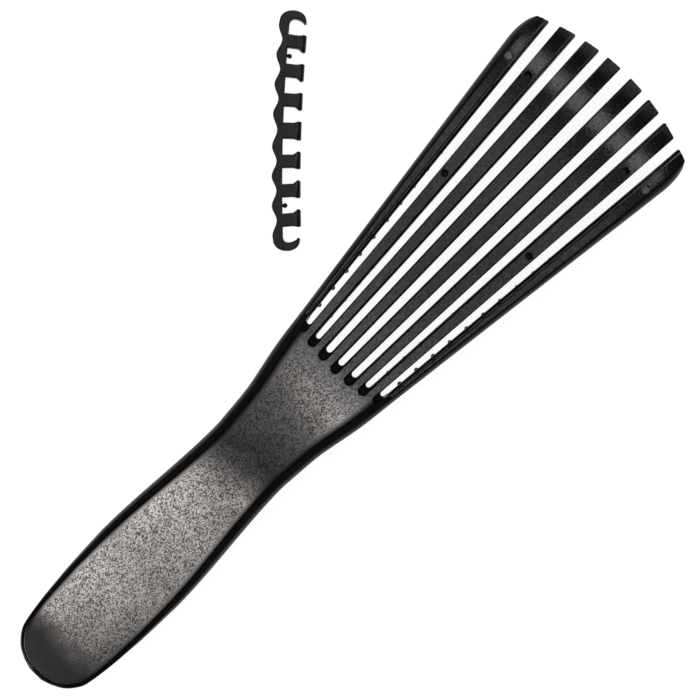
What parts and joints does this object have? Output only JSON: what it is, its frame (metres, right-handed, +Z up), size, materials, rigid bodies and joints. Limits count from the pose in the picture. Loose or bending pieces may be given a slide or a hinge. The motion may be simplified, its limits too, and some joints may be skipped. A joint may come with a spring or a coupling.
{
  "type": "detangling brush",
  "caption": "Flexible detangling hair brush: flat waisted handle, a fan of separate springy ribs with rows of ball-tipped pins, and a loose comb-shaped connector clip.",
  "frame": {"origin": "middle of the box round the brush and its clip, on the surface they lie on", "axes": "+X from the handle's end towards the rib tips, +Z up from the surface through the back, +Y towards the loose clip"},
  "size_m": [0.24, 0.1134, 0.0194],
  "materials": {
    "gloss_moulding": "polished black moulding",
    "textured_back": "fine spark texture",
    "pins": "smooth black moulding",
    "clip": "satin black moulding"
  },
  "bodies": {
    "handle": {"handle_front": "gloss_moulding", "handle_back": "textured_back"},
    "rib_1": {"rib_back_1": "gloss_moulding", "rib_front_1": "gloss_moulding", "pin_strip_1": "pins"},
    "rib_2": {"rib_back_2": "textured_back", "rib_front_2": "gloss_moulding", "pin_strip_2": "pins"},
    "rib_3": {"rib_back_3": "textured_back", "rib_front_3": "gloss_moulding", "pin_strip_3": "pins"},
    "rib_4": {"rib_back_4": "textured_back", "rib_front_4": "gloss_moulding", "pin_strip_4": "pins"},
    "rib_5": {"rib_back_5": "textured_back", "rib_front_5": "gloss_moulding", "pin_strip_5": "pins"},
    "rib_6": {"rib_back_6": "textured_back", "rib_front_6": "gloss_moulding", "pin_strip_6": "pins"},
    "rib_7": {"rib_back_7": "textured_back", "rib_front_7": "gloss_moulding", "pin_strip_7": "pins"},
    "rib_8": {"rib_back_8": "gloss_moulding", "rib_front_8": "gloss_moulding", "pin_strip_8": "pins"},
    "clip": {"connector_clip": "clip"}
  },
  "joints": [
    {"name": "rib_1_flex", "type": "hinge", "parent": "handle", "child": "rib_1", "pos_m": [0.00795, -0.00836, 0.01446], "axis": [0.1128, -0.9877, 0.1081], "range_deg": [-5, 10], "stiffness_Nm_per_rad": 0.35},
    {"name": "rib_2_flex", "type": "hinge", "parent": "handle", "child": "rib_2", "pos_m": [0.00794, -0.013, 0.01489], "axis": [0.0707, -0.9944, 0.079], "range_deg": [-5, 10], "stiffness_Nm_per_rad": 0.35},
    {"name": "rib_3_flex", "type": "hinge", "parent": "handle", "child": "rib_3", "pos_m": [0.00794, -0.01776, 0.0152], "axis": [0.0408, -0.998, 0.049], "range_deg": [-5, 10], "stiffness_Nm_per_rad": 0.35},
    {"name": "rib_4_flex", "type": "hinge", "parent": "handle", "child": "rib_4", "pos_m": [0.00793, -0.02289, 0.01536], "axis": [0.0163, -0.9997, 0.0164], "range_deg": [-5, 10], "stiffness_Nm_per_rad": 0.35},
    {"name": "rib_5_flex", "type": "hinge", "parent": "handle", "child": "rib_5", "pos_m": [0.00793, -0.02803, 0.01536], "axis": [-0.0163, -0.9997, -0.0164], "range_deg": [-5, 10], "stiffness_Nm_per_rad": 0.35},
    {"name": "rib_6_flex", "type": "hinge", "parent": "handle", "child": "rib_6", "pos_m": [0.00794, -0.03315, 0.0152], "axis": [-0.0408, -0.998, -0.049], "range_deg": [-5, 10], "stiffness_Nm_per_rad": 0.35},
    {"name": "rib_7_flex", "type": "hinge", "parent": "handle", "child": "rib_7", "pos_m": [0.00794, -0.03791, 0.01489], "axis": [-0.0707, -0.9944, -0.079], "range_deg": [-5, 10], "stiffness_Nm_per_rad": 0.35},
    {"name": "rib_8_flex", "type": "hinge", "parent": "handle", "child": "rib_8", "pos_m": [0.00795, -0.04256, 0.01446], "axis": [-0.1128, -0.9877, -0.1081], "range_deg": [-5, 10], "stiffness_Nm_per_rad": 0.35},
    {"name": "clip_lift", "type": "slide", "parent": "handle", "child": "clip", "axis": [0, 0, 1], "range_m": [0, 0.06]}
  ]
}
